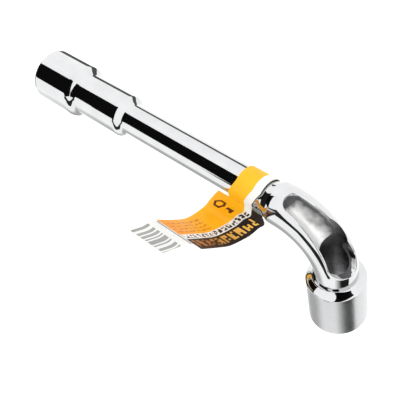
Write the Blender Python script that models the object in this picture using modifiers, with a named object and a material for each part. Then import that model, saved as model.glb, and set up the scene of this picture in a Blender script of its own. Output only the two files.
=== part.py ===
"""Angled socket wrench with a hex socket at each end and a folded paper label round its shank.

The wrench lies flat: its long arm runs along X, its short arm along Y, and both axes are level.
Metres, +Z up. The origin is on the surface under the wrench, at the middle of its outline.
"""

import math

import bmesh
import bpy
from mathutils import Matrix, Vector

MM = 0.001

# Steel forging: radii, and distances from the corner where the two arm axes cross
HEAD_R = 14.0 * MM
COLLAR_R = 11.0 * MM
SHANK_R = 8.0 * MM
NECK_R = 10.4 * MM
BEND_R = 25.5 * MM
LONG_REACH = 190.0 * MM
SHORT_REACH = 60.5 * MM
LONG_HEAD = 25.9 * MM
LONG_SHOULDER = 5.5 * MM
COLLAR_END = 60.2 * MM
COLLAR_SHOULDER = 5.0 * MM
SHORT_HEAD = 28.1 * MM
SHORT_SHOULDER = 3.0 * MM
LONG_RIM = 1.9 * MM
SHORT_RIM = 1.2 * MM
FLARE_START = 36.0 * MM
FLARE_END = 28.0 * MM

# Hex sockets and the bores behind them
HEX_FLATS = 19.0 * MM
HEX_DEPTH = 15.0 * MM
LEAD_IN_R = 11.2 * MM
LEAD_IN_DEPTH = 1.2 * MM
LONG_BORE_R = 7.5 * MM
LONG_BORE_DEPTH = 50.0 * MM
DRILL_POINT = 3.0 * MM
SHORT_BORE_R = 6.5 * MM

# Opening on the outside of the elbow: a bolt passage, and a channel that widens towards it
PASSAGE_R = 6.4 * MM
PASSAGE_RISE = 0.3 * MM
CHANNEL_TURN = math.radians(13)
CHANNEL_TOP = math.radians(79)
CHANNEL_FOOT = math.radians(19)
CHANNEL_TOP_HALF = math.radians(25)
CHANNEL_FOOT_HALF = math.radians(44)
CHANNEL_TOP_WALL = 1.5 * MM
CHANNEL_FOOT_WALL = 4.0 * MM
CHANNEL_BLUNTNESS = 2.2

# Where one stretch of the forging ends and the next begins
GAP = 0.3 * MM
COLLAR_SEAM = LONG_REACH - 34.0 * MM
SHANK_SEAM = LONG_REACH - 68.0 * MM
ELBOW_SEAM = 46.0 * MM
NECK_SEAM = 28.0 * MM

# Paper label: a band round the shank whose ends run out as two leaves, glued face to face.
# Each knot is (along Y, up, from X, to X) in mm from the arm axes. The leaves lean away from the
# elbow, because the band is wrapped at a slant.
PAPER = 0.4 * MM
BAND_R = 8.7 * MM
BAND_FRONT = (2.7, 8.85, 38.6, 52.4)
BAND_BACK = (8.0, -3.4, 35.3, 49.5)
BAND_RETURN = [(10.8, 0.8, 36.5, 51.0), (13.4, 5.4, 38.6, 53.5)]
FRONT_KNOTS = [
    (3.1, 8.95, 32.0, 59.0),
    (6.5, 9.8, 30.8, 61.5),
    (10.5, 10.9, 33.8, 64.0),
    (14.8, 14.5, 37.0, 66.3),
    (10.7, 25.5, 37.8, 65.3),
    (3.8, 33.5, 37.9, 65.0),
    (-3.8, 41.5, 38.1, 66.0),
]
BACK_START = [(13.9, 6.3, 39.3, 56.0), (15.5, 10.4, 38.0, 62.0)]
TAB_KNOTS = [(-8.2, 49.0, 44.3, 65.5), (-12.2, 56.2, 44.5, 65.0)]
GLUED_FROM = 3
TAB_INSET = 6.0 * MM
PATH_STEPS = 4

ROUND_STEPS = 48
CORNER = Vector(((HEAD_R - LONG_REACH) / 2, (HEAD_R - SHORT_REACH) / 2, HEAD_R))
ALONG_LONG_ARM = Matrix.Rotation(math.pi / 2, 4, "Y")
ALONG_SHORT_ARM = Matrix.Rotation(-math.pi / 2, 4, "X")


def clear_scene():
    for old in list(bpy.data.objects):
        bpy.data.objects.remove(old, do_unlink=True)


def new_collection(name):
    collection = bpy.data.collections.new(name)
    bpy.context.scene.collection.children.link(collection)
    return collection


def new_material(name, color, metallic, roughness):
    material = bpy.data.materials.new(name)
    material.use_nodes = True
    shader = material.node_tree.nodes["Principled BSDF"]
    shader.inputs["Base Color"].default_value = (*color, 1.0)
    shader.inputs["Metallic"].default_value = metallic
    shader.inputs["Roughness"].default_value = roughness
    return material


def add_object(name, mesh, collection, parent, placed=Matrix.Identity(4)):
    made = bpy.data.objects.new(name, mesh)
    collection.objects.link(made)
    made.parent = parent
    made.matrix_local = placed
    return made


def hide_cutter(cutter):
    cutter.hide_render = True
    cutter.display_type = "WIRE"
    return cutter


def shoulder(start, end, steps=6):
    """Points of an S-shaped shoulder from start to end, each a (radius, height)."""
    (r0, z0), (r1, z1) = start, end
    eased = [(k / steps, (1 - math.cos(math.pi * k / steps)) / 2) for k in range(steps + 1)]
    return [(r0 + (r1 - r0) * ease, z0 + (z1 - z0) * share) for share, ease in eased]


def rounding(radius, height, size, steps=4):
    """Points of a rounded outer edge, from the end face at height down to the side at radius."""
    turns = [math.pi / 2 * (1 - k / steps) for k in range(steps + 1)]
    return [(radius - size + size * math.cos(a), height - size + size * math.sin(a)) for a in turns]


def profile_mesh(name, profile):
    """An open chain of edges in the XZ plane, one vertex for each (radius, height)."""
    points = [(radius, 0.0, height) for radius, height in profile]
    edges = [(k, k + 1) for k in range(len(points) - 1)]
    mesh = bpy.data.meshes.new(name)
    mesh.from_pydata(points, edges, [])
    return mesh


def turned(name, profile, collection, parent, placed):
    """A solid of revolution. Its profile runs down the outside, from top to bottom."""
    made = add_object(name, profile_mesh(name, profile), collection, parent, placed)
    screw = made.modifiers.new("Turn", "SCREW")
    screw.steps = ROUND_STEPS
    screw.render_steps = ROUND_STEPS
    screw.use_merge_vertices = True
    screw.merge_threshold = 0.00001
    return made


def evaluated_mesh(made):
    bpy.context.view_layer.update()
    graph = bpy.context.evaluated_depsgraph_get()
    return bpy.data.meshes.new_from_object(made.evaluated_get(graph))


def smooth_path(points, steps):
    """A Catmull-Rom curve through the points, with the given number of steps in each span."""
    chain = [2 * points[0] - points[1], *points, 2 * points[-1] - points[-2]]
    path = []
    for a, b, c, d in zip(chain, chain[1:], chain[2:], chain[3:]):
        for k in range(steps):
            t = k / steps
            path.append((2 * b + (c - a) * t + (2 * a - 5 * b + 4 * c - d) * t**2
                         + (3 * b - a - 3 * c + d) * t**3) / 2)
    return path + [chain[-2]]


def bar(name, points, radii, collection, parent):
    """A round bar along the points, as a closed mesh, with its own radius at each point."""
    curve = bpy.data.curves.new(name, "CURVE")
    curve.dimensions = "3D"
    curve.bevel_depth = SHANK_R
    curve.bevel_resolution = 8
    curve.use_fill_caps = True
    spline = curve.splines.new("POLY")
    spline.points.add(len(points) - 1)
    for knot, point, radius in zip(spline.points, points, radii):
        knot.co = (*point, 1.0)
        knot.radius = radius / SHANK_R
    guide = add_object(name, curve, collection, parent)
    mesh = evaluated_mesh(guide)
    mesh.name = name
    weld = bmesh.new()
    weld.from_mesh(mesh)
    bmesh.ops.remove_doubles(weld, verts=weld.verts, dist=0.00001)
    bmesh.ops.recalc_face_normals(weld, faces=weld.faces)
    weld.to_mesh(mesh)
    weld.free()
    bpy.data.objects.remove(guide, do_unlink=True)
    return add_object(name, mesh, collection, parent)


def loft(name, rings, collection, parent):
    """A closed mesh through the rings of points, with a flat face at each end."""
    count = len(rings[0])
    faces = [tuple(range(count)), tuple(range(count * (len(rings) - 1), count * len(rings)))]
    for start in range(0, count * (len(rings) - 1), count):
        for k in range(count):
            turn = (k + 1) % count
            faces.append((start + k, start + turn, start + count + turn, start + count + k))
    mesh = bpy.data.meshes.new(name)
    mesh.from_pydata([point for ring in rings for point in ring], [], faces)
    outward = bmesh.new()
    outward.from_mesh(mesh)
    bmesh.ops.recalc_face_normals(outward, faces=outward.faces)
    outward.to_mesh(mesh)
    outward.free()
    return add_object(name, mesh, collection, parent)


def cut(made, cutter):
    boolean = made.modifiers.new(cutter.name, "BOOLEAN")
    boolean.operation = "DIFFERENCE"
    boolean.solver = "EXACT"
    boolean.object = cutter


def finish(made, material):
    """Applies the modifiers, and shades the round faces smooth and the edges sharp."""
    mesh = evaluated_mesh(made)
    mesh.name = made.name
    made.modifiers.clear()
    made.data = mesh
    mesh.materials.clear()
    mesh.materials.append(material)
    mesh.shade_smooth()
    mesh.set_sharp_from_angle(angle=math.radians(30))


def hex_cutter(name, mouth, collection, parent, arm):
    """A hex prism with a conical lead-in, sunk into a socket whose mouth is at this height."""
    tool = bmesh.new()
    corner_r = HEX_FLATS / 2 / math.cos(math.pi / 6)
    beyond = 2 * MM
    depth = HEX_DEPTH + beyond
    middle = mouth + beyond - depth / 2
    bmesh.ops.create_cone(tool, cap_ends=True, segments=6, radius1=corner_r, radius2=corner_r,
                          depth=depth, matrix=Matrix.Translation((0, 0, middle)))
    mesh = bpy.data.meshes.new(name)
    tool.to_mesh(mesh)
    tool.free()
    return hide_cutter(add_object(name, mesh, collection, parent, arm))


def lead_in_cutter(name, mouth, collection, parent, arm):
    """A cone that breaks the hex's corners where a nut goes in."""
    slope = (LEAD_IN_R - HEX_FLATS / 2) / LEAD_IN_DEPTH
    beyond = 1 * MM
    tool = bmesh.new()
    place = Matrix.Translation((0, 0, mouth + (beyond - LEAD_IN_DEPTH) / 2))
    bmesh.ops.create_cone(tool, cap_ends=True, segments=ROUND_STEPS, radius1=HEX_FLATS / 2,
                          radius2=LEAD_IN_R + slope * beyond, depth=LEAD_IN_DEPTH + beyond,
                          matrix=place)
    mesh = bpy.data.meshes.new(name)
    tool.to_mesh(mesh)
    tool.free()
    return hide_cutter(add_object(name, mesh, collection, parent, arm))


def long_socket(collection, cutters, parent):
    foot = COLLAR_SEAM + GAP / 2
    profile = [(LONG_BORE_R, LONG_REACH)]
    profile += rounding(HEAD_R, LONG_REACH, LONG_RIM)
    head_end = LONG_REACH - LONG_HEAD
    profile += shoulder((HEAD_R, head_end), (COLLAR_R, head_end - LONG_SHOULDER))
    profile += [(COLLAR_R, foot), (LONG_BORE_R, foot), (LONG_BORE_R, LONG_REACH)]
    made = turned("long_socket", profile, collection, parent, ALONG_LONG_ARM)
    cut(made, hex_cutter("long_hex", LONG_REACH, cutters, parent, ALONG_LONG_ARM))
    cut(made, lead_in_cutter("long_lead_in", LONG_REACH, cutters, parent, ALONG_LONG_ARM))
    return made


def collar(collection, parent):
    top = COLLAR_SEAM - GAP / 2
    foot = SHANK_SEAM + GAP / 2
    bore_end = LONG_REACH - LONG_BORE_DEPTH
    step = LONG_REACH - COLLAR_END
    profile = [(0.0, bore_end - DRILL_POINT), (LONG_BORE_R, bore_end), (LONG_BORE_R, top)]
    profile += [(COLLAR_R, top)]
    profile += shoulder((COLLAR_R, step), (SHANK_R, step - COLLAR_SHOULDER))
    profile += [(SHANK_R, foot), (0.0, foot)]
    return turned("collar", profile, collection, parent, ALONG_LONG_ARM)


def shank(collection, parent):
    top = SHANK_SEAM - GAP / 2
    foot = ELBOW_SEAM + GAP / 2
    profile = [(0.0, top), (SHANK_R, top), (SHANK_R, foot), (0.0, foot)]
    return turned("shank", profile, collection, parent, ALONG_LONG_ARM)


def bend_point(angle, offset=0.0):
    """A point beside the elbow's centre line: angle 0 is at the short arm, 90 degrees at the long."""
    reach = BEND_R + offset
    return Vector((BEND_R - reach * math.cos(angle), BEND_R - reach * math.sin(angle), 0.0))


def elbow(collection, cutters, parent):
    points = [Vector((ELBOW_SEAM - GAP / 2, 0, 0))]
    radii = [SHANK_R]
    for radius, x in shoulder((SHANK_R, FLARE_START), (NECK_R, FLARE_END)):
        points.append(Vector((x, 0, 0)))
        radii.append(radius)
    bend_steps = 20
    for k in range(bend_steps + 1):
        points.append(bend_point(math.pi / 2 * (1 - k / bend_steps)))
        radii.append(NECK_R)
    points.append(Vector((0, NECK_SEAM - GAP / 2, 0)))
    radii.append(NECK_R)
    made = bar("elbow", points, radii, collection, parent)
    cut(made, channel_cutter(cutters, parent))
    cut(made, passage_cutter(cutters, parent))
    return made


def channel_stations():
    """The channel's stations as (angle round the bend, half its width as an angle round the bar,
    the height of its straight walls)."""
    steps = 20
    cap_steps = 6
    stations = []
    for k in range(steps + 1):
        share = k / steps
        half = CHANNEL_TOP_HALF + (CHANNEL_FOOT_HALF - CHANNEL_TOP_HALF) * share
        wall = CHANNEL_TOP_WALL + (CHANNEL_FOOT_WALL - CHANNEL_TOP_WALL) * share
        stations.append((CHANNEL_TOP + (CHANNEL_FOOT - CHANNEL_TOP) * share, half, wall))
    first, last = [], []
    for (angle, half, wall), side, cap in ((stations[0], 1, first), (stations[-1], -1, last)):
        length = NECK_R * math.sin(half) / (BEND_R + NECK_R * math.cos(half))
        for k in range(1, cap_steps + 1):
            reach = 0.998 * math.sin(math.pi / 2 * k / cap_steps)
            size = (1 - reach**CHANNEL_BLUNTNESS) ** (1 / CHANNEL_BLUNTNESS)
            cap.append((angle + side * length * reach, half * size, wall * size))
    return first[::-1] + stations + last


def channel_section(half, wall):
    """The channel's section as (towards its mouth, across it): a round floor below straight walls."""
    steps = 8
    centre = NECK_R * math.cos(half)
    size = NECK_R * math.sin(half)
    section = []
    for middle, first in ((centre, -90), (centre - wall, 90)):
        for k in range(steps + 1):
            turn = math.radians(first + 180 * k / steps)
            section.append((middle + size * math.cos(turn), size * math.sin(turn)))
    return section


def channel_cutter(collection, parent):
    """A bar along the outside of the bend, sunk into it by half its width and the walls' height."""
    rings = []
    for angle, half, wall in channel_stations():
        ring = []
        for toward, across in channel_section(half, wall):
            outward = toward * math.cos(CHANNEL_TURN) - across * math.sin(CHANNEL_TURN)
            rise = toward * math.sin(CHANNEL_TURN) + across * math.cos(CHANNEL_TURN)
            ring.append(bend_point(angle, outward) + Vector((0, 0, rise)))
        rings.append(ring)
    return hide_cutter(loft("channel", rings, collection, parent))


def passage_cutter(collection, parent):
    """A bore along the short arm, which comes out of the outside of the bend."""
    top = NECK_SEAM + 5 * MM
    tool = bmesh.new()
    place = Matrix.Translation((0, -PASSAGE_RISE, 0))
    bmesh.ops.create_cone(tool, cap_ends=True, segments=ROUND_STEPS, radius1=PASSAGE_R,
                          radius2=PASSAGE_R, depth=2 * top, matrix=place)
    mesh = bpy.data.meshes.new("passage")
    tool.to_mesh(mesh)
    tool.free()
    return hide_cutter(add_object("passage", mesh, collection, parent, ALONG_SHORT_ARM))


def short_socket(collection, cutters, parent):
    foot = NECK_SEAM + GAP / 2
    head_end = SHORT_REACH - SHORT_HEAD
    profile = [(SHORT_BORE_R, SHORT_REACH)]
    profile += rounding(HEAD_R, SHORT_REACH, SHORT_RIM)
    profile += shoulder((HEAD_R, head_end), (NECK_R, head_end - SHORT_SHOULDER))
    profile += [(NECK_R, foot), (SHORT_BORE_R, foot), (SHORT_BORE_R, SHORT_REACH)]
    made = turned("short_socket", profile, collection, parent, ALONG_SHORT_ARM)
    cut(made, hex_cutter("short_hex", SHORT_REACH, cutters, parent, ALONG_SHORT_ARM))
    cut(made, lead_in_cutter("short_lead_in", SHORT_REACH, cutters, parent, ALONG_SHORT_ARM))
    return made


def knots(rows):
    return [Vector(row) * MM for row in rows]


def strip(name, rows, collection, parent):
    """A paper strip with a straight edge to edge line at each row (along Y, up, from X, to X)."""
    points = []
    faces = []
    for k, (y, z, x0, x1) in enumerate(rows):
        points += [(x0, y, z), (x1, y, z)]
        if k:
            faces.append((2 * k - 2, 2 * k - 1, 2 * k + 1, 2 * k))
    mesh = bpy.data.meshes.new(name)
    mesh.from_pydata(points, [], faces)
    made = add_object(name, mesh, collection, parent)
    skin = made.modifiers.new("Paper", "SOLIDIFY")
    skin.thickness = PAPER
    skin.offset = 0.0
    skin.use_even_offset = True
    return made


def beside(rows, distance):
    """The same rows, moved to the right of the direction that they run in."""
    moved = []
    for k, row in enumerate(rows):
        along = (rows[min(k + 1, len(rows) - 1)] - rows[max(k - 1, 0)]).to_2d().normalized()
        moved.append(row + Vector((along.y, -along.x, 0, 0)) * distance)
    return moved


def label_band(collection, parent):
    """The band leaves the front leaf, goes round the shank and comes back to the back leaf."""
    front, back = knots([BAND_FRONT, BAND_BACK])
    start = math.radians(94)
    sweep = math.radians(337) - start
    steps = 24
    rows = [front]
    for k in range(steps + 1):
        angle = start + sweep * k / steps
        spread = front.lerp(back, min(1.0, 5 * k / steps))
        spread.x = BAND_R * math.cos(angle)
        spread.y = BAND_R * math.sin(angle)
        rows.append(spread)
    return strip("label_band", rows + knots(BAND_RETURN), collection, parent)


def label_front_leaf(collection, parent):
    rows = smooth_path(knots(FRONT_KNOTS), PATH_STEPS)
    return strip("label_front_leaf", rows, collection, parent)


def label_back_leaf(collection, parent):
    """It comes up to the front leaf, lies behind it, and runs on past it as the narrower tab."""
    front = smooth_path(knots(FRONT_KNOTS), PATH_STEPS)
    glued = beside(front, PAPER + GAP)[GLUED_FROM * PATH_STEPS:]
    for k, row in enumerate(glued):
        row.z += TAB_INSET * k / (len(glued) - 1)
    tab = smooth_path([glued[-1], *knots(TAB_KNOTS)], PATH_STEPS)[1:]
    return strip("label_back_leaf", knots(BACK_START) + glued + tab, collection, parent)


def main():
    clear_scene()
    parts = new_collection("angled_socket_wrench")
    cutters = new_collection("cutters")
    cutters.hide_render = True
    steel = new_material("chromed_steel", (0.80, 0.81, 0.82), 1.0, 0.12)
    yellow = new_material("yellow_label_paper", (0.95, 0.50, 0.02), 0.0, 0.55)
    white = new_material("white_label_paper", (0.85, 0.85, 0.84), 0.0, 0.55)

    corner = add_object("corner", None, parts, None, Matrix.Translation(CORNER))
    label_turn = add_object("label_turn", None, parts, corner)

    forging = [
        long_socket(parts, cutters, corner),
        collar(parts, corner),
        shank(parts, corner),
        elbow(parts, cutters, corner),
        short_socket(parts, cutters, corner),
    ]
    for made in forging:
        finish(made, steel)
    finish(label_band(parts, label_turn), yellow)
    finish(label_front_leaf(parts, label_turn), yellow)
    finish(label_back_leaf(parts, label_turn), white)


main()
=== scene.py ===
"""The looks of the angled socket wrench: chromed steel with its sockets, bores and elbow channel,
and the printed paper label round its shank. Metres, in the frame of the CAD model."""

import math

import bmesh
import bpy
import numpy as np
from mathutils import Matrix, Vector


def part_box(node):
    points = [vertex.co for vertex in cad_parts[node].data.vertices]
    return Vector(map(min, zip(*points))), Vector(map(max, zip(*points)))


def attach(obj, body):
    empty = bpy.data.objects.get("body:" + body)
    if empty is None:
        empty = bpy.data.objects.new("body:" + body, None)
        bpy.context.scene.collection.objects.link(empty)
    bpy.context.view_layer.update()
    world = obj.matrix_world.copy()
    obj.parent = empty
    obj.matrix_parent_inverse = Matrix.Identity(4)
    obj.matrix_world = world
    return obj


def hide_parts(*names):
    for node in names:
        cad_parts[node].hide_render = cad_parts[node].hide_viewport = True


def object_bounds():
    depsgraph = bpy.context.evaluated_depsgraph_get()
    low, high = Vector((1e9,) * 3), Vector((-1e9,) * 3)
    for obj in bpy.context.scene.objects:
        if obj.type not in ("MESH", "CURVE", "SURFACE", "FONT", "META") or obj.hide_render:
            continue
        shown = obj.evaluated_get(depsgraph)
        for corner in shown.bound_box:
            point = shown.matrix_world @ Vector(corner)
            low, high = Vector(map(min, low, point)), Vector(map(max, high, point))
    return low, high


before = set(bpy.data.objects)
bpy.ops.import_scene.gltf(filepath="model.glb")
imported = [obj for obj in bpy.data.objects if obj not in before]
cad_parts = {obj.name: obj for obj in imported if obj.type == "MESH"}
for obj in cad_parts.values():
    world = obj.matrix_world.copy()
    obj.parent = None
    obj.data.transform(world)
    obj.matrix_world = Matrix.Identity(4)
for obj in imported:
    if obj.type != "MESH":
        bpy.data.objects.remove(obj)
cad_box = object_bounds()

MM = 0.001

# Sizes read from the CAD model
LONG_LOW, LONG_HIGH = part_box("long_socket")
COLLAR_LOW, COLLAR_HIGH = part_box("collar")
SHANK_LOW, SHANK_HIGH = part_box("shank")
ELBOW_LOW, ELBOW_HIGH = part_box("elbow")
SHORT_LOW, SHORT_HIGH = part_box("short_socket")
CORNER = Vector(((SHORT_LOW.x + SHORT_HIGH.x) / 2, (SHANK_LOW.y + SHANK_HIGH.y) / 2,
                 (SHANK_LOW.z + SHANK_HIGH.z) / 2))
LONG_REACH = LONG_HIGH.x - CORNER.x
SHORT_REACH = SHORT_HIGH.y - CORNER.y
HEAD_R = (LONG_HIGH.z - LONG_LOW.z) / 2
COLLAR_R = (COLLAR_HIGH.z - COLLAR_LOW.z) / 2
SHANK_R = (SHANK_HIGH.z - SHANK_LOW.z) / 2
NECK_R = (ELBOW_HIGH.z - ELBOW_LOW.z) / 2
COLLAR_SEAM = (COLLAR_HIGH.x + LONG_LOW.x) / 2 - CORNER.x
SHANK_SEAM = (SHANK_HIGH.x + COLLAR_LOW.x) / 2 - CORNER.x
ELBOW_SEAM = (ELBOW_HIGH.x + SHANK_LOW.x) / 2 - CORNER.x
NECK_SEAM = (ELBOW_HIGH.y + SHORT_LOW.y) / 2 - CORNER.y

# Sizes inside those boxes, as in the CAD model
BEND_R = 25.5 * MM
LONG_HEAD = 25.9 * MM
LONG_SHOULDER = 5.5 * MM
COLLAR_END = 60.2 * MM
COLLAR_SHOULDER = 5.0 * MM
SHORT_HEAD = 28.1 * MM
SHORT_SHOULDER = 3.0 * MM
LONG_RIM = 1.9 * MM
SHORT_RIM = 1.2 * MM
FLARE_START = 36.0 * MM
FLARE_END = 28.0 * MM
HEX_FLATS = 19.0 * MM
HEX_DEPTH = 15.0 * MM
LEAD_IN_R = 11.2 * MM
LEAD_IN_DEPTH = 1.2 * MM
LONG_BORE_R = 7.5 * MM
LONG_BORE_DEPTH = 50.0 * MM
DRILL_POINT = 3.0 * MM
SHORT_BORE_R = 6.5 * MM
PASSAGE_R = 6.4 * MM
PASSAGE_RISE = 0.3 * MM
CHANNEL_TURN = math.radians(13)
CHANNEL_TOP = math.radians(79)
CHANNEL_FOOT = math.radians(19)
CHANNEL_TOP_HALF = math.radians(25)
CHANNEL_FOOT_HALF = math.radians(44)
CHANNEL_TOP_WALL = 1.5 * MM
CHANNEL_FOOT_WALL = 4.0 * MM
CHANNEL_BLUNTNESS = 2.2

# Details finer than the CAD model: relieved hex corners, the channel's rounded edges, and the
# slit left on each side of a seam between two stretches of the forging
HEX_CORNER_R = 10.7 * MM
CHANNEL_EDGE = 0.55 * MM
SEAM_SLIT = 0.004 * MM

# Paper label, as in the CAD model: each knot is (along Y, up, from X, to X) in mm from the arm
# axes, and how far across the printed sheet its first edge lies
PAPER = 0.36 * MM
LEAF_GAP = 0.7 * MM
BAND_R = 8.7 * MM
BAND_FRONT = (2.7, 8.85, 38.6, 52.4, 9.0)
BAND_BACK = (8.0, -3.4, 35.3, 49.5, 9.0)
BAND_RETURN = [(10.8, 0.8, 36.5, 51.0, 9.0), (13.4, 5.4, 38.6, 53.5, 9.0)]
FRONT_KNOTS = [
    (2.8, 8.87, 32.5, 59.0, 2.9),
    (6.5, 9.8, 30.8, 61.5, 0.7),
    (10.5, 10.9, 33.8, 64.0, 0.0),
    (14.8, 14.5, 37.0, 66.3, 0.0),
    (10.7, 25.5, 37.8, 65.3, 0.0),
    (3.8, 33.5, 37.9, 65.0, 0.0),
    (-3.8, 41.5, 38.1, 66.0, 0.0),
]
BACK_START = [(13.9, 6.3, 39.3, 56.0, 0.0), (15.5, 10.4, 38.0, 62.0, 0.0)]
TAB_KNOTS = [(-8.2, 49.0, 44.3, 65.5, 4.0), (-12.2, 56.2, 44.5, 65.0, 4.0)]
GLUED_FROM = 3
TAB_INSET = 6.0 * MM

# Print on the label, in mm across it: a black band up to the stripe, then yellow beyond it
STRIPE_START = 9.0
STRIPE_END = 13.2

# Each arm's directions: angle 0 round it, angle 90 round it, and along it
LONG_ARM = (Vector((0, 1, 0)), Vector((0, 0, 1)), Vector((1, 0, 0)))
SHORT_ARM = (Vector((0, 0, 1)), Vector((1, 0, 0)), Vector((0, 1, 0)))

# Mesh density: points round a turned piece; then, in the elbow's section, points round its
# outside, on each rounded edge of the channel and across the channel; columns in the paper
AROUND = 180
OUTSIDE = 120
EDGE = 6
CHANNEL = 44
COLUMNS = 24

# Studio: how much brighter than its colour a white surface looks; the depth of the floor below
# the wrench, which clears the sweep of the label's leaves; how far away the cards stand; and the
# angles round the long arm, in degrees, between which it reflects black
STUDIO_LIGHT = 1.15
FLOOR_DEPTH = 46.0 * MM
CARD_DISTANCE = 0.6
BLACK_FROM = 97
BLACK_TO = 163


# ---------------------------------------------------------------- materials

class Nodes:
    """Builds a material's node tree: each method adds one node and returns its output."""

    def __init__(self, name):
        self.material = bpy.data.materials.new(name)
        self.material.use_nodes = True
        self.tree = self.material.node_tree
        self.shader = self.tree.nodes["Principled BSDF"]

    def add(self, kind, **settings):
        node = self.tree.nodes.new(kind)
        for key, value in settings.items():
            setattr(node, key, value)
        return node

    def plug(self, value, socket):
        if isinstance(value, bpy.types.NodeSocket):
            self.tree.links.new(value, socket)
        else:
            socket.default_value = value

    def math(self, operation, a, b=0.0):
        node = self.add("ShaderNodeMath", operation=operation)
        self.plug(a, node.inputs[0])
        self.plug(b, node.inputs[1])
        return node.outputs[0]

    def between(self, value, low, high):
        return self.math("MULTIPLY", self.math("GREATER_THAN", value, low),
                         self.math("LESS_THAN", value, high))

    def either(self, *masks):
        total = masks[0]
        for mask in masks[1:]:
            total = self.math("MAXIMUM", total, mask)
        return total

    def both(self, *masks):
        total = masks[0]
        for mask in masks[1:]:
            total = self.math("MULTIPLY", total, mask)
        return total

    def mix(self, share, a, b):
        node = self.add("ShaderNodeMix", data_type="RGBA")
        self.plug(share, node.inputs["Factor"])
        self.plug(a, node.inputs["A"])
        self.plug(b, node.inputs["B"])
        return node.outputs["Result"]

    def remap(self, value, low, high, to_low, to_high):
        node = self.add("ShaderNodeMapRange")
        self.plug(value, node.inputs["Value"])
        for key, number in (("From Min", low), ("From Max", high), ("To Min", to_low),
                            ("To Max", to_high)):
            node.inputs[key].default_value = number
        return node.outputs["Result"]

    def place(self, scale):
        """The object's own coordinates, in metres, times scale."""
        coords = self.add("ShaderNodeTexCoord")
        node = self.add("ShaderNodeMapping")
        self.plug(coords.outputs["Object"], node.inputs["Vector"])
        node.inputs["Scale"].default_value = scale
        return node.outputs["Vector"]

    def noise(self, vector, scale, detail=3.0, rough=0.5):
        node = self.add("ShaderNodeTexNoise")
        self.plug(vector, node.inputs["Vector"])
        node.inputs["Scale"].default_value = scale
        node.inputs["Detail"].default_value = detail
        node.inputs["Roughness"].default_value = rough
        return node.outputs[0]

    def bump(self, height, strength, distance):
        node = self.add("ShaderNodeBump")
        node.inputs["Strength"].default_value = strength
        node.inputs["Distance"].default_value = distance
        self.plug(height, node.inputs["Height"])
        self.plug(node.outputs["Normal"], self.shader.inputs["Normal"])

    def finish(self, color, roughness, **constants):
        self.plug(color, self.shader.inputs["Base Color"])
        self.plug(roughness, self.shader.inputs["Roughness"])
        for key, value in constants.items():
            self.shader.inputs[key.replace("_", " ")].default_value = value
        return self.material


def ink(red, green, blue):
    """A colour given as it looks in the studio's bright light, 0 to 255, as shader values."""
    seen = [((v / 255 + 0.055) / 1.055) ** 2.4 for v in (red, green, blue)]
    return tuple(v / STUDIO_LIGHT for v in seen) + (1.0,)


def chrome(name, low, high, wave):
    """Bright chrome plate with faint handling marks and the polishing waves under the plate."""
    n = Nodes(name)
    cloud = n.noise(n.place((1, 1, 1)), 120, 4.0)
    marks = n.noise(n.place((1, 1, 0.6)), 900, 2.0)
    spread = n.math("ADD", n.math("MULTIPLY", cloud, 0.7), n.math("MULTIPLY", marks, 0.3))
    rough = n.remap(spread, 0.3, 0.7, low, high)
    tint = n.mix(n.remap(cloud, 0.35, 0.7, 0.0, 1.0), (0.57, 0.575, 0.58, 1), (0.61, 0.615, 0.62, 1))
    n.bump(n.noise(n.place((1, 1, 1)), 90, 1.0), wave, 0.0004)
    return n.finish(tint, rough, Metallic=1.0)


def milled_chrome():
    """The elbow's channel: its colour holds painted light, a painted highlight along its floor and
    painted shade, dull and dark, up its walls and at its ends.
    """
    n = Nodes("channel_chrome")
    floor = n.add("ShaderNodeAttribute", attribute_name="channel_painted_light").outputs["Fac"]
    cloud = n.noise(n.place((1, 1, 1)), 260, 3.0)
    # Painted light: the floor share gives a painted highlight on the floor and painted shade up the
    # walls, with a random cloud over it.
    bright = n.math("ADD", floor, n.math("MULTIPLY", n.math("SUBTRACT", cloud, 0.5), 0.7))
    tint = n.mix(n.remap(bright, 0.15, 0.8, 0.0, 1.0), (0.10, 0.10, 0.105, 1), (0.92, 0.92, 0.91, 1))
    n.bump(n.noise(n.place((1, 1, 1)), 90, 1.0), 0.1, 0.0004)
    return n.finish(tint, n.remap(cloud, 0.3, 0.7, 0.36, 0.50), Metallic=0.55)


def turned_chrome(name, scale):
    """Satin chrome over fine turning lines; scale stretches the lines round the socket."""
    n = Nodes(name)
    lines = n.noise(n.place(scale), 1.0, 4.0, 0.6)
    cloud = n.noise(n.place((1, 1, 1)), 150, 3.0)
    rough = n.remap(n.math("ADD", lines, cloud), 0.6, 1.4, 0.25, 0.32)
    tint = n.mix(cloud, (0.47, 0.475, 0.48, 1), (0.52, 0.525, 0.53, 1))
    n.bump(lines, 0.06, 0.00008)
    return n.finish(tint, rough, Metallic=1.0)


def bare_bore(name, scale):
    """Machined steel inside the sockets and bores, with tool lines and a little old oil; its colour is
    painted far darker than bare steel, as painted shade in the hollows.
    """
    n = Nodes(name)
    lines = n.noise(n.place(scale), 1.0, 3.0, 0.7)
    oil = n.noise(n.place((1, 1, 1)), 220, 5.0, 0.6)
    # Painted shade: both tints far darker than bare steel, for the shade inside the hollows; the old
    # oil varies them a little.
    tint = n.mix(n.remap(oil, 0.4, 0.65, 0.0, 1.0), (0.16, 0.16, 0.165, 1), (0.24, 0.24, 0.245, 1))
    rough = n.remap(lines, 0.3, 0.7, 0.26, 0.42)
    n.bump(lines, 0.25, 0.0001)
    return n.finish(tint, rough, Metallic=1.0)


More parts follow.
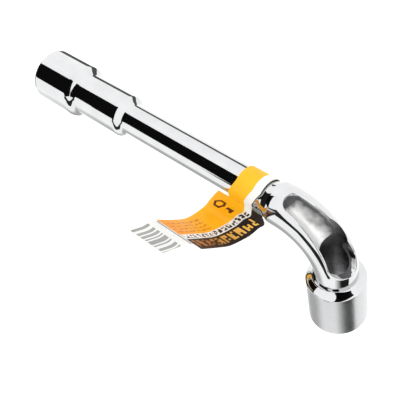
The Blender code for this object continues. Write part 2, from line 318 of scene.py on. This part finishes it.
def paper_base(n):
    """Shared by the label's papers: fibre relief, and a soft uneven sheen from its varnish."""
    fibre = n.noise(n.place((1, 1, 1)), 2600, 4.0, 0.7)
    waves = n.noise(n.place((1, 1, 1)), 90, 2.0)
    n.bump(n.math("ADD", fibre, n.math("MULTIPLY", waves, 1.5)), 0.12, 0.0001)
    return n.remap(fibre, 0.3, 0.7, 0.42, 0.58), n.remap(waves, 0.3, 0.7, 0.0, 1.0)


def label_coords(n):
    """(across, along): millimetres on the flat label."""
    split = n.add("ShaderNodeSeparateXYZ")
    n.plug(n.add("ShaderNodeUVMap", uv_map="print").outputs["UV"], split.inputs[0])
    return split.outputs["X"], split.outputs["Y"]


def speckle_cells(n, across, along, wide, tall, seed):
    """A random value for each cell of a grid on the label."""
    pair = n.add("ShaderNodeCombineXYZ")
    n.plug(n.math("FLOOR", n.math("DIVIDE", across, wide)), pair.inputs[0])
    n.plug(n.math("FLOOR", n.math("DIVIDE", along, tall)), pair.inputs[1])
    pair.inputs[2].default_value = seed
    noise = n.add("ShaderNodeTexWhiteNoise", noise_dimensions="3D")
    n.plug(pair.outputs[0], noise.inputs["Vector"])
    return noise.outputs["Value"]


def mock_type(n, across, along, row, span, cell, columns, seed, fill=0.42):
    """Blocks that stand for a line of type: glyph cells with a gap after every few columns."""
    glyphs = n.math("GREATER_THAN", speckle_cells(n, across, along, cell, cell, seed), fill)
    pitch = cell * columns
    inside = n.math("LESS_THAN", n.math("FLOORED_MODULO", along, pitch), pitch - cell)
    return n.both(glyphs, inside, n.between(across, *row), n.between(along, *span))


def hex_ring(n, across, along, centre, outer, inner):
    """The outline of a hex nut: a generic mark."""
    du = n.math("ABSOLUTE", n.math("SUBTRACT", across, centre[0]))
    dv = n.math("ABSOLUTE", n.math("SUBTRACT", along, centre[1]))
    slant = n.math("ADD", n.math("MULTIPLY", du, 0.866), n.math("MULTIPLY", dv, 0.5))
    reach = n.math("MAXIMUM", slant, dv)
    return n.between(reach, inner, outer)


def front_print():
    """The front leaf: yellow, a white stripe of small type, and a black band of large type."""
    n = Nodes("label_front_print")
    across, along = label_coords(n)
    rough, shade = paper_base(n)
    yellow = n.mix(shade, ink(255, 180, 8), ink(255, 190, 20))
    # The yellow turns orange along the leaf towards its hanging end: painted shade.
    yellow = n.mix(n.remap(along, 20, 48, 0.0, 0.8), yellow, ink(240, 138, 36))
    fine = [mock_type(n, across, along, (u, u + 1.3), (22, 46), 0.65, 5, u, 0.35)
            for u in (15.0, 17.6, 20.2, 22.8)]
    color = n.mix(n.math("MULTIPLY", n.either(*fine), 0.6), yellow, ink(170, 74, 22))
    mark = n.either(hex_ring(n, across, along, (24.8, 7.2), 2.8, 1.6),
                    mock_type(n, across, along, (16.2, 20.2), (6.4, 9.4), 1.0, 5, 3.0, 0.4))
    color = n.mix(mark, color, ink(96, 44, 10))
    color = n.mix(n.between(across, STRIPE_START, STRIPE_END), color, ink(240, 238, 232))
    small = mock_type(n, across, along, (9.7, 12.6), (3.0, 47), 0.72, 4, 7.0, 0.36)
    color = n.mix(small, color, ink(40, 34, 32))
    color = n.mix(n.math("LESS_THAN", across, STRIPE_START), color, ink(32, 24, 27))
    large = mock_type(n, across, along, (2.2, 7.7), (5.5, 46), 1.1, 4, 11.0, 0.38)
    # The large type's gold darkens along the leaf towards its hanging end: painted shade, as on the
    # yellow.
    gold = n.mix(n.remap(along, 14, 34, 0.0, 1.0), ink(246, 190, 84), ink(170, 108, 58))
    color = n.mix(large, color, gold)
    return n.finish(color, rough, Specular_IOR_Level=0.3)


def band_print():
    """The band: yellow, with the white stripe along the edge nearest the elbow."""
    n = Nodes("label_band_print")
    across, _ = label_coords(n)
    rough, shade = paper_base(n)
    yellow = n.mix(shade, ink(252, 178, 8), ink(255, 188, 20))
    color = n.mix(n.math("LESS_THAN", across, STRIPE_END), yellow, ink(238, 236, 232))
    return n.finish(color, rough, Specular_IOR_Level=0.3)


def back_print():
    """The outer face of the back leaf: yellow with a white panel of greeked lines."""
    n = Nodes("label_back_print")
    across, along = label_coords(n)
    rough, shade = paper_base(n)
    color = n.mix(shade, ink(252, 178, 8), ink(255, 188, 20))
    panel = n.both(n.between(across, 7, 25), n.between(along, 14, 58))
    color = n.mix(panel, color, ink(240, 238, 232))
    lines = [mock_type(n, across, along, (u, u + 1.1), (17, 55), 0.55, 5, u, 0.3)
             for u in (9.0, 11.6, 14.2, 16.8, 19.4, 22.0)]
    color = n.mix(n.math("MULTIPLY", n.either(*lines), 0.8), color, ink(70, 64, 60))
    return n.finish(color, rough, Specular_IOR_Level=0.3)


def bar_print():
    """The inner face of the back leaf: white, with a bar pattern where it shows past the front."""
    n = Nodes("label_bar_print")
    across, along = label_coords(n)
    rough, shade = paper_base(n)
    color = n.mix(shade, ink(226, 226, 224), ink(238, 238, 236))
    bars = n.math("GREATER_THAN", speckle_cells(n, across, 0.5, 0.9, 1.0, 8.0), 0.5)
    bars = n.both(bars, n.between(across, 2.0, 27.5), n.between(along, 53.0, 67.0))
    color = n.mix(n.math("MULTIPLY", bars, 0.62), color, ink(60, 60, 62))
    return n.finish(color, rough, Specular_IOR_Level=0.3)


def cut_edge():
    """The white core of the card, along its cut edges."""
    n = Nodes("label_cut_edge")
    rough, shade = paper_base(n)
    return n.finish(n.mix(shade, ink(222, 218, 208), ink(236, 233, 226)), rough)


# ---------------------------------------------------------------- mesh helpers

def finish_mesh(name, mesh, sharp=35):
    work = bmesh.new()
    work.from_mesh(mesh)
    bmesh.ops.recalc_face_normals(work, faces=work.faces)
    work.to_mesh(mesh)
    work.free()
    mesh.shade_smooth()
    mesh.set_sharp_from_angle(angle=math.radians(sharp))
    made = bpy.data.objects.new(name, mesh)
    bpy.context.scene.collection.objects.link(made)
    return made


def skin_rings(name, rings, materials, slots, looped):
    """Faces between each ring of points and the next, each band of faces with its slot number.
    Rings that don't loop round are closed with a flat face at each end."""
    count = len(rings[0])
    points = [tuple(p) for ring in rings for p in ring]
    faces = []
    face_slots = []
    bands = len(rings) if looped else len(rings) - 1
    for k in range(bands):
        a = k * count
        b = (k + 1) % len(rings) * count
        for j in range(count):
            i = (j + 1) % count
            faces.append((a + j, a + i, b + i, b + j))
            face_slots.append(slots[k][j] if isinstance(slots[k], list) else slots[k])
    if not looped:
        faces.append(tuple(range(count)))
        faces.append(tuple(range(len(points) - count, len(points))))
        face_slots += [0, 0]
    mesh = bpy.data.meshes.new(name)
    mesh.from_pydata(points, [], faces)
    for material in materials:
        mesh.materials.append(material)
    mesh.polygons.foreach_set("material_index", face_slots)
    return mesh


def shoulder(start, end, steps=20):
    """Points of an S-shaped shoulder from start to end, each a (radius, distance along the arm)."""
    (r0, s0), (r1, s1) = start, end
    eased = [(k / steps, (1 - math.cos(math.pi * k / steps)) / 2) for k in range(steps + 1)]
    return [(r0 + (r1 - r0) * ease, s0 + (s1 - s0) * share) for share, ease in eased]


def rounding(radius, reach, size, steps=10):
    """Points of a rounded outer edge, from the side at radius up to the end face at reach."""
    turns = [math.pi / 2 * k / steps for k in range(steps + 1)]
    return [(radius - size + size * math.cos(a), reach - size + size * math.sin(a)) for a in turns]


def straight(start, end, steps):
    (r0, s0), (r1, s1) = start, end
    return [(r0 + (r1 - r0) * k / steps, s0 + (s1 - s0) * k / steps) for k in range(steps + 1)]


def hex_radius(angle):
    """The hex socket's wall at this angle; a corner faces angle 0, and the corners are relieved."""
    turn = angle % (math.pi / 3) - math.pi / 6
    return min(HEX_FLATS / 2 / math.cos(turn), HEX_CORNER_R)


def turned_rings(arm, rows):
    """A ring of points for each row: (radius, distance), or (function of the angle, distance)."""
    u, v, w = arm
    rings = []
    for radius, distance in rows:
        ring = []
        for k in range(AROUND):
            angle = 2 * math.pi * k / AROUND
            r = radius(angle) if callable(radius) else radius
            ring.append(CORNER + w * distance + u * r * math.cos(angle) + v * r * math.sin(angle))
        rings.append(ring)
    return rings


def socket_mouth(reach):
    """The rows from the mouth's flat face, through the lead-in and the hex, to the hex's floor."""
    rows = []
    steps = 10
    for k in range(steps + 1):
        cone = LEAD_IN_R + (HEX_FLATS / 2 - LEAD_IN_R) * k / steps
        rows.append((lambda a, c=cone: max(c, hex_radius(a)), reach - LEAD_IN_DEPTH * k / steps))
    floor = reach - HEX_DEPTH
    rows += [(hex_radius, reach - LEAD_IN_DEPTH - 0.5 * MM), (hex_radius, floor + 0.5 * MM)]
    rows += [(hex_radius, floor)]
    return rows


# ---------------------------------------------------------------- steel

def long_socket(outer, inner):
    foot = COLLAR_SEAM + SEAM_SLIT
    head_end = LONG_REACH - LONG_HEAD
    side = [(COLLAR_R, foot), (COLLAR_R, foot + 0.6 * MM)]
    side += shoulder((COLLAR_R, head_end - LONG_SHOULDER), (HEAD_R, head_end))
    side += straight((HEAD_R, head_end + 1 * MM), (HEAD_R, LONG_REACH - LONG_RIM - 1 * MM), 4)
    side += rounding(HEAD_R, LONG_REACH, LONG_RIM)
    mouth = socket_mouth(LONG_REACH)
    floor = LONG_REACH - HEX_DEPTH
    bore = [(LONG_BORE_R + 0.4 * MM, floor), (LONG_BORE_R, floor - 0.4 * MM), (LONG_BORE_R, foot)]
    return socket_piece("long_socket_steel", LONG_ARM, side, mouth + bore, outer, inner)


def socket_piece(name, arm, side, inside, outer, inner):
    rows = side + inside
    slots = [0] * len(side) + [1] * (len(inside) - 1) + [0]
    mesh = skin_rings(name, turned_rings(arm, rows), [outer, inner], slots, True)
    return finish_mesh(name, mesh)


def short_socket(outer, satin, inner):
    foot = NECK_SEAM + SEAM_SLIT
    head_end = SHORT_REACH - SHORT_HEAD
    side = [(NECK_R, foot), (NECK_R, foot + 0.5 * MM)]
    side += shoulder((NECK_R, head_end - SHORT_SHOULDER), (HEAD_R, head_end))
    side += straight((HEAD_R, head_end + 1 * MM), (HEAD_R, SHORT_REACH - SHORT_RIM - 1 * MM), 4)
    side += rounding(HEAD_R, SHORT_REACH, SHORT_RIM)
    floor = SHORT_REACH - HEX_DEPTH
    bore = [(SHORT_BORE_R + 0.4 * MM, floor), (SHORT_BORE_R, floor - 0.4 * MM)]
    bore += [(SHORT_BORE_R, foot)]
    made = socket_piece("short_socket_steel", SHORT_ARM, side, socket_mouth(SHORT_REACH) + bore,
                        outer, inner)
    made.data.materials.append(satin)
    for face in made.data.polygons:
        if face.material_index == 0 and face.center.y - CORNER.y > head_end:
            face.material_index = 2
    return made


def collar(outer, inner):
    top = COLLAR_SEAM - SEAM_SLIT
    step = LONG_REACH - COLLAR_END
    bore_end = LONG_REACH - LONG_BORE_DEPTH
    tip = 0.02 * MM
    inside = straight((tip, bore_end - DRILL_POINT), (LONG_BORE_R, bore_end), 6)
    inside += [(LONG_BORE_R, top)]
    side = [(COLLAR_R, top), (COLLAR_R, top - 0.6 * MM)]
    side += shoulder((COLLAR_R, step), (SHANK_R, step - COLLAR_SHOULDER))
    side += [(SHANK_R, SHANK_SEAM + 0.6 * MM), (SHANK_R, SHANK_SEAM + SEAM_SLIT)]
    slots = [1] * (len(inside) - 1) + [0] * len(side)
    mesh = skin_rings("collar_steel", turned_rings(LONG_ARM, inside + side), [outer, inner],
                      slots, False)
    return finish_mesh("collar_steel", mesh)


def shank(outer):
    rows = straight((SHANK_R, SHANK_SEAM - SEAM_SLIT), (SHANK_R, ELBOW_SEAM + SEAM_SLIT), 8)
    mesh = skin_rings("shank_steel", turned_rings(LONG_ARM, rows), [outer], [0] * 8, False)
    return finish_mesh("shank_steel", mesh)


def channel_size(angle):
    """Half the channel's width at this angle round the bend, as an angle round the bar, and the
    height of its straight walls; both 0 outside the channel."""
    share = (CHANNEL_TOP - angle) / (CHANNEL_TOP - CHANNEL_FOOT)
    end = min(max(share, 0.0), 1.0)
    half = CHANNEL_TOP_HALF + (CHANNEL_FOOT_HALF - CHANNEL_TOP_HALF) * end
    wall = CHANNEL_TOP_WALL + (CHANNEL_FOOT_WALL - CHANNEL_TOP_WALL) * end
    if 0 <= share <= 1:
        return half, wall
    length = NECK_R * math.sin(half) / (BEND_R + NECK_R * math.cos(half))
    past = abs(angle - (CHANNEL_TOP if share < 0 else CHANNEL_FOOT)) / length
    if past >= 0.998:
        return 0.0, 0.0
    size = (1 - past**CHANNEL_BLUNTNESS) ** (1 / CHANNEL_BLUNTNESS)
    return half * size, wall * size


def bar_section(radius, half, wall):
    """The bar's outline as (towards the channel, across it), with the channel's edges rounded."""
    deep = half > 0
    half = max(half, math.radians(4))
    centre = radius * math.cos(half)
    size = radius * math.sin(half)
    edge = min(CHANNEL_EDGE, 0.3 * size)
    cos_turn = ((radius - edge) ** 2 + centre**2 - (size + edge) ** 2) / (2 * (radius - edge) * centre)
    turn = math.acos(cos_turn)
    ex, ey = (radius - edge) * math.cos(turn), (radius - edge) * math.sin(turn)
    inward = math.atan2(-ey, centre - ex)
    start = math.atan2(ey, ex - centre)
    outline = []
    for k in range(OUTSIDE):
        a = turn + (2 * math.pi - 2 * turn) * k / OUTSIDE
        outline.append((radius * math.cos(a), radius * math.sin(a)))
    if not deep:
        rest = 2 * EDGE + CHANNEL
        angles = [-turn + 2 * turn * k / rest for k in range(rest)]
        return outline + [(radius * math.cos(a), radius * math.sin(a)) for a in angles]
    for k in range(EDGE):
        a = -turn + (-inward + turn) * k / EDGE
        outline.append((ex + edge * math.cos(a), -ey + edge * math.sin(a)))
    for k in range(CHANNEL):
        a = 2 * math.pi - start - (2 * math.pi - 2 * start) * k / CHANNEL
        sink = wall if math.cos(a) <= 0.2 else 0.0
        outline.append((centre - sink + size * math.cos(a), size * math.sin(a)))
    for k in range(EDGE):
        a = inward + (turn - inward) * k / EDGE
        outline.append((ex + edge * math.cos(a), ey + edge * math.sin(a)))
    return outline


def elbow_stations():
    """(centre, direction to the outside of the bend, radius, channel half width, channel wall)."""
    out = Vector((0, -1, 0))
    start = ELBOW_SEAM - SEAM_SLIT
    rows = [(SHANK_R, start), (SHANK_R, start - 0.6 * MM)]
    rows += shoulder((SHANK_R, FLARE_START), (NECK_R, FLARE_END))
    stations = [(Vector((x, 0, 0)), out, radius, 0.0, 0.0) for radius, x in rows]
    steps = 300
    for k in range(steps + 1):
        angle = math.pi / 2 * (1 - k / steps)
        out = Vector((-math.cos(angle), -math.sin(angle), 0))
        centre = Vector((BEND_R, BEND_R, 0)) + out * BEND_R
        stations.append((centre, out, NECK_R, *channel_size(angle)))
    out = Vector((-1, 0, 0))
    for y in (NECK_SEAM - 0.6 * MM, NECK_SEAM - SEAM_SLIT):
        stations.append((Vector((0, y, 0)), out, NECK_R, 0.0, 0.0))
    return stations


def painted_floor_light(k, half):
    """The channel's painted light: 1, a painted highlight, over most of its floor, falling to 0,
    painted shade, up its lower wall and at its ends.
    """
    across = (k - OUTSIDE - EDGE - CHANNEL / 2) / (CHANNEL / 2)
    full = half / CHANNEL_TOP_HALF
    return min(max(0.80 + 0.85 * across, 0.0), 1.0) * min(max(3.2 * full - 2.4, 0.0), 1.0)


def elbow(outer, channel, inner):
    up = Vector((0, 0, 1))
    rings = []
    slots = []
    painted_light = []
    plain = [0] * (OUTSIDE + 2 * EDGE + CHANNEL)
    carved = [0] * (OUTSIDE + EDGE) + [1] * CHANNEL + [0] * EDGE
    for centre, out, radius, half, wall in elbow_stations():
        toward = out * math.cos(CHANNEL_TURN) + up * math.sin(CHANNEL_TURN)
        across = up * math.cos(CHANNEL_TURN) - out * math.sin(CHANNEL_TURN)
        section = bar_section(radius, half, wall)
        rings.append([CORNER + centre + toward * a + across * b for a, b in section])
        slots.append(carved if half > 0 else plain)
        # Each point's share of the channel's painted light: painted highlight on the floor, painted
        # shade up the wall.
        painted_light += [painted_floor_light(k, half) for k in range(len(section))]
    mesh = skin_rings("elbow_steel", rings, [outer, channel, inner], slots, False)
    mesh.attributes.new("channel_painted_light", "FLOAT", "POINT").data.foreach_set("value", painted_light)
    made = finish_mesh("elbow_steel", mesh)
    return drill(made, passage_tool(inner))


def passage_tool(material):
    """The stud passage's drill: a cylinder along the short arm."""
    segments = 128
    depth = 4 * NECK_SEAM
    work = bmesh.new()
    turn = Matrix.Rotation(-math.pi / 2, 4, "X")
    place = Matrix.Translation(CORNER + Vector((0, 0, PASSAGE_RISE))) @ turn
    bmesh.ops.create_cone(work, cap_ends=True, segments=segments, radius1=PASSAGE_R,
                          radius2=PASSAGE_R, depth=depth, matrix=place)
    mesh = bpy.data.meshes.new("passage_drill")
    work.to_mesh(mesh)
    work.free()
    mesh.materials.append(material)
    tool = bpy.data.objects.new("passage_drill", mesh)
    bpy.context.scene.collection.objects.link(tool)
    return tool


def drill(made, tool):
    boolean = made.modifiers.new("Drill", "BOOLEAN")
    boolean.operation = "DIFFERENCE"
    boolean.solver = "EXACT"
    boolean.object = tool
    boolean.material_mode = "TRANSFER"
    bpy.context.view_layer.update()
    graph = bpy.context.evaluated_depsgraph_get()
    mesh = bpy.data.meshes.new_from_object(made.evaluated_get(graph))
    made.modifiers.clear()
    made.data = mesh
    bpy.data.objects.remove(tool, do_unlink=True)
    mesh.shade_smooth()
    mesh.set_sharp_from_angle(angle=math.radians(35))
    return made


# ---------------------------------------------------------------- label

def knots(rows):
    return [np.array(row) * MM for row in rows]


def smooth_path(points, steps):
    """A Catmull-Rom curve through the points, with the given number of steps in each span."""
    chain = [2 * points[0] - points[1], *points, 2 * points[-1] - points[-2]]
    path = []
    for a, b, c, d in zip(chain, chain[1:], chain[2:], chain[3:]):
        for k in range(steps):
            t = k / steps
            path.append((2 * b + (c - a) * t + (2 * a - 5 * b + 4 * c - d) * t**2
                         + (3 * b - a - 3 * c + d) * t**3) / 2)
    return path + [chain[-2]]


def sideways(rows):
    """The unit direction to the right of the path at each row, in the (along Y, up) plane."""
    found = []
    for k in range(len(rows)):
        step = rows[min(k + 1, len(rows) - 1)][:2] - rows[max(k - 1, 0)][:2]
        step = step / np.linalg.norm(step)
        found.append(np.array((step[1], -step[0])))
    return found


def beside(rows, distance):
    moved = []
    for row, side in zip(rows, sideways(rows)):
        moved.append(np.concatenate((row[:2] + side * distance, row[2:])))
    return moved


def strip(name, rows, travel, materials):
    """A paper strip: two printed faces, left and right of its path, joined by its cut edges.
    Its first edge is a fold, printed like its left face."""
    left, right, prints = [], [], []
    for k, (row, side) in enumerate(zip(rows, sideways(rows))):
        if k:
            travel += np.linalg.norm(row[:2] - rows[k - 1][:2]) / MM
        for j in range(COLUMNS + 1):
            share = j / COLUMNS
            x = row[2] + (row[3] - row[2]) * share
            middle = np.array((x, row[0], row[1])) + np.array(CORNER)
            half = np.array((0, *side)) * PAPER / 2
            left.append(middle - half)
            right.append(middle + half)
            prints.append(((row[4] + (row[3] - row[2]) * share) / MM, travel))
    count = len(left)
    faces, slots = [], []
    for k in range(len(rows) - 1):
        for j in range(COLUMNS):
            a = k * (COLUMNS + 1) + j
            b = a + COLUMNS + 1
            faces += [(a, a + 1, b + 1, b), (count + a, count + b, count + b + 1, count + a + 1)]
            slots += [0, 1]
    edge = list(range(COLUMNS + 1))
    edge += [k * (COLUMNS + 1) + COLUMNS for k in range(1, len(rows))]
    edge += [(len(rows) - 1) * (COLUMNS + 1) + j for j in range(COLUMNS - 1, -1, -1)]
    edge += [k * (COLUMNS + 1) for k in range(len(rows) - 2, 0, -1)]
    for a, b in zip(edge, edge[1:] + edge[:1]):
        faces.append((a, b, count + b, count + a))
        slots.append(0 if max(a, b) <= COLUMNS else 2)
    mesh = bpy.data.meshes.new(name)
    mesh.from_pydata([tuple(p) for p in left + right], [], faces)
    for material in materials:
        mesh.materials.append(material)
    mesh.polygons.foreach_set("material_index", slots)
    layer = mesh.uv_layers.new(name="print")
    both = prints + prints
    for loop in mesh.loops:
        layer.data[loop.index].uv = both[loop.vertex_index]
    return finish_mesh(name, mesh)


def label_band(materials):
    front, back = knots([BAND_FRONT, BAND_BACK])
    start = math.radians(94)
    sweep = math.radians(337) - start
    steps = 72
    rows = [front]
    for k in range(steps + 1):
        angle = start + sweep * k / steps
        spread = front + (back - front) * min(1.0, 5 * k / steps)
        spread[:2] = BAND_R * math.cos(angle), BAND_R * math.sin(angle)
        rows.append(spread)
    rows += smooth_path([rows[-1], *knots(BAND_RETURN)], 6)[1:]
    return strip("label_band_paper", rows, 0.0, materials)


def label_front_leaf(materials):
    rows = smooth_path(knots(FRONT_KNOTS), 16)
    return strip("label_front_leaf_paper", rows, 0.0, materials)


def label_back_leaf(materials):
    steps = 16
    front = smooth_path(knots(FRONT_KNOTS), steps)
    glued = beside(front, LEAF_GAP)[GLUED_FROM * steps:]
    for k, row in enumerate(glued):
        row[2] += TAB_INSET * k / (len(glued) - 1)
    tab = smooth_path([glued[-1], *knots(TAB_KNOTS)], 8)[1:]
    start = smooth_path([*knots(BACK_START), glued[0]], 8)[:-1]
    return strip("label_back_leaf_paper", start + glued + tab, 5.0, materials)


# ---------------------------------------------------------------- studio

CAMERA_OFFSET = Vector((-0.13404, -0.27269, 0.16044))
CAMERA_AIM = Vector((0.5347, 0.7508, -0.3878))
CAMERA_UP = Vector((0.4403, -0.6393, -0.6305))
CAMERA_LENS = 71.76


def add_camera():
    camera = bpy.data.cameras.new("camera")
    camera.lens = CAMERA_LENS
    camera.sensor_width = 36.0
    camera.clip_start = 0.01
    rig = bpy.data.objects.new("camera", camera)
    bpy.context.scene.collection.objects.link(rig)
    aim = CAMERA_AIM.normalized()
    right = aim.cross(CAMERA_UP).normalized()
    up = right.cross(aim)
    turn = Matrix((right, up, -aim)).transposed().to_4x4()
    rig.matrix_world = Matrix.Translation(CORNER + CAMERA_OFFSET) @ turn
    bpy.context.scene.camera = rig


def add_floor():
    """A white light table: its own glow clears the shadow round the wrench."""
    n = Nodes("floor_white")
    grain = n.noise(n.place((1, 1, 1)), 40, 2.0)
    color = n.mix(grain, (0.43, 0.43, 0.43, 1), (0.45, 0.45, 0.45, 1))
    material = n.finish(color, 0.9, Emission_Color=(1, 1, 1, 1), Emission_Strength=0.8)
    bpy.ops.mesh.primitive_plane_add(size=8.0, location=(0, 0, cad_box[0][2] - FLOOR_DEPTH))
    floor = bpy.context.object
    floor.name = "floor"
    floor.data.materials.append(material)


def add_card(name, corners, faces, level, soft=False):
    """A card that only reflections see. A soft card fades out from its middle to its rim."""
    mesh = bpy.data.meshes.new(name)
    mesh.from_pydata(corners, [], faces)
    n = Nodes(name)
    n.tree.nodes.remove(n.shader)
    glow = n.add("ShaderNodeEmission")
    glow.inputs["Color"].default_value = (level, level, level, 1)
    shader = glow.outputs[0]
    if soft:
        gradient = n.add("ShaderNodeTexGradient", gradient_type="SPHERICAL")
        n.plug(n.place((1, 1, 1)), gradient.inputs["Vector"])
        blend = n.add("ShaderNodeMixShader")
        n.plug(n.remap(gradient.outputs[0], 0.0, 0.55, 0.0, 1.0), blend.inputs[0])
        n.plug(n.add("ShaderNodeBsdfTransparent").outputs[0], blend.inputs[1])
        n.plug(shader, blend.inputs[2])
        shader = blend.outputs[0]
    n.plug(shader, n.tree.nodes["Material Output"].inputs["Surface"])
    mesh.materials.append(n.material)
    card = bpy.data.objects.new(name, mesh)
    bpy.context.scene.collection.objects.link(card)
    card.visible_camera = False
    card.visible_diffuse = False
    card.visible_shadow = False
    return card


def add_arm_card(name, distance, start, end, level):
    """A card along the long arm, at this distance from its axis, above it and on its -Y side."""
    corners = []
    for angle, x in ((BLACK_FROM, start), (BLACK_FROM, end), (BLACK_TO, end), (BLACK_TO, start)):
        turn = math.radians(angle)
        corners.append(CORNER + Vector((x, distance * math.cos(turn), distance * math.sin(turn))))
    add_card(name, corners, [(0, 1, 2, 3)], level)


def add_ribbon(name, origin, distance, stops, level):
    """A card that runs through these directions from origin, each with its width in degrees."""
    corners = []
    for k, (direction, width) in enumerate(stops):
        before = Vector(stops[max(k - 1, 0)][0]).normalized()
        after = Vector(stops[min(k + 1, len(stops) - 1)][0]).normalized()
        middle = Vector(direction).normalized()
        side = middle.cross(after - before).normalized() * math.tan(math.radians(width / 2))
        corners += [origin + distance * (middle + side), origin + distance * (middle - side)]
    faces = [(k, k + 1, k + 3, k + 2) for k in range(0, len(corners) - 2, 2)]
    add_card(name, corners, faces, level)


def add_spot(name, direction, width, height, level):
    """A soft oval card in this direction from the bend, its width and height in degrees."""
    quad = [(-1, -1, 0), (1, -1, 0), (1, 1, 0), (-1, 1, 0)]
    card = add_card(name, quad, [(0, 1, 2, 3)], level, soft=True)
    aim = Vector(direction).normalized()
    turn = aim.to_track_quat("Z", "Y").to_matrix().to_4x4()
    size = [CARD_DISTANCE * math.tan(math.radians(a / 2)) for a in (width, height)]
    place = Matrix.Translation(CORNER + CARD_DISTANCE * aim)
    card.matrix_world = place @ turn @ Matrix.Diagonal((*size, 1, 1))


def add_world():
    """Even white light from every side."""
    world = bpy.data.worlds.new("studio")
    world.use_nodes = True
    back = world.node_tree.nodes["Background"]
    back.inputs["Color"].default_value = (1.0, 1.0, 1.0, 1)
    back.inputs["Strength"].default_value = 1.45
    bpy.context.scene.world = world
    bpy.context.scene.view_settings.view_transform = "Standard"


def add_cards():
    """The dark and grey shapes that the chrome reflects."""
    add_arm_card("black_card", 0.5, 0.30, 1.2, 0.006)
    add_arm_card("near_black_card", 0.12, 0.10, 0.24, 0.006)
    gap = [((0.54, -0.14, 0.83), 26), ((0.30, 0.0, 0.95), 15), ((0.05, 0.11, 0.99), 14),
           ((-0.10, 0.40, 0.91), 17), ((-0.12, 0.70, 0.70), 13), ((-0.13, 0.74, 0.66), 8)]
    add_ribbon("gap_between_panels", CORNER, CARD_DISTANCE, gap, 0.03)
    front = [((-0.53, 0.16, 0.84), 24), ((-0.64, -0.34, 0.69), 24), ((-0.57, -0.72, 0.39), 34),
             ((-0.49, -0.86, 0.12), 38), ((-0.50, -0.86, -0.12), 30)]
    add_ribbon("front_shade", CORNER + Vector((0, 0.03, 0)), 0.12, front, 0.004)
    add_spot("side_shade", (-0.68, 0.72, 0.02), 74, 74, 0.02)
    add_spot("side_panel", (0.56, 0.77, 0.22), 56, 56, 0.60)
    end = [Vector((1.1, y, z)) for y, z in ((-0.6, 0.0), (0.6, 0.0), (0.6, 0.7), (-0.6, 0.7))]
    add_card("end_card", end, [(0, 1, 2, 3)], 0.02)
    # A dark strip just below the shank, seen only in reflections, where the wrench's shadow would lie:
    # a painted shadow.
    under = [CORNER + Vector((x, y, 0.0002 - CORNER.z)) for x, y in
             ((0.05, -0.012), (0.24, -0.012), (0.24, -0.0075), (0.05, -0.0075))]
    add_card("painted_shadow_card", under, [(0, 1, 2, 3)], 0.12)


# ---------------------------------------------------------------- assembly

def mount(piece, body, node):
    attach(piece, body)
    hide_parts(node)


def main():
    polished = chrome("polished_chrome", 0.03, 0.07, 0.03)
    channel = milled_chrome()
    satin = turned_chrome("short_socket_chrome", (60, 2400, 60))
    long_inside = bare_bore("long_socket_bore", (1500, 50, 50))
    short_inside = bare_bore("short_socket_bore", (50, 1500, 50))

    mount(long_socket(polished, long_inside), "wrench", "long_socket")
    mount(collar(polished, long_inside), "wrench", "collar")
    mount(shank(polished), "wrench", "shank")
    mount(elbow(polished, channel, short_inside), "wrench", "elbow")
    mount(short_socket(polished, satin, short_inside), "wrench", "short_socket")

    edge = cut_edge()
    front = front_print()
    mount(label_band([edge, band_print(), edge]), "label", "label_band")
    mount(label_front_leaf([front, edge, edge]), "label", "label_front_leaf")
    mount(label_back_leaf([bar_print(), back_print(), edge]), "label", "label_back_leaf")

    add_camera()
    add_floor()
    add_world()
    add_cards()


main()
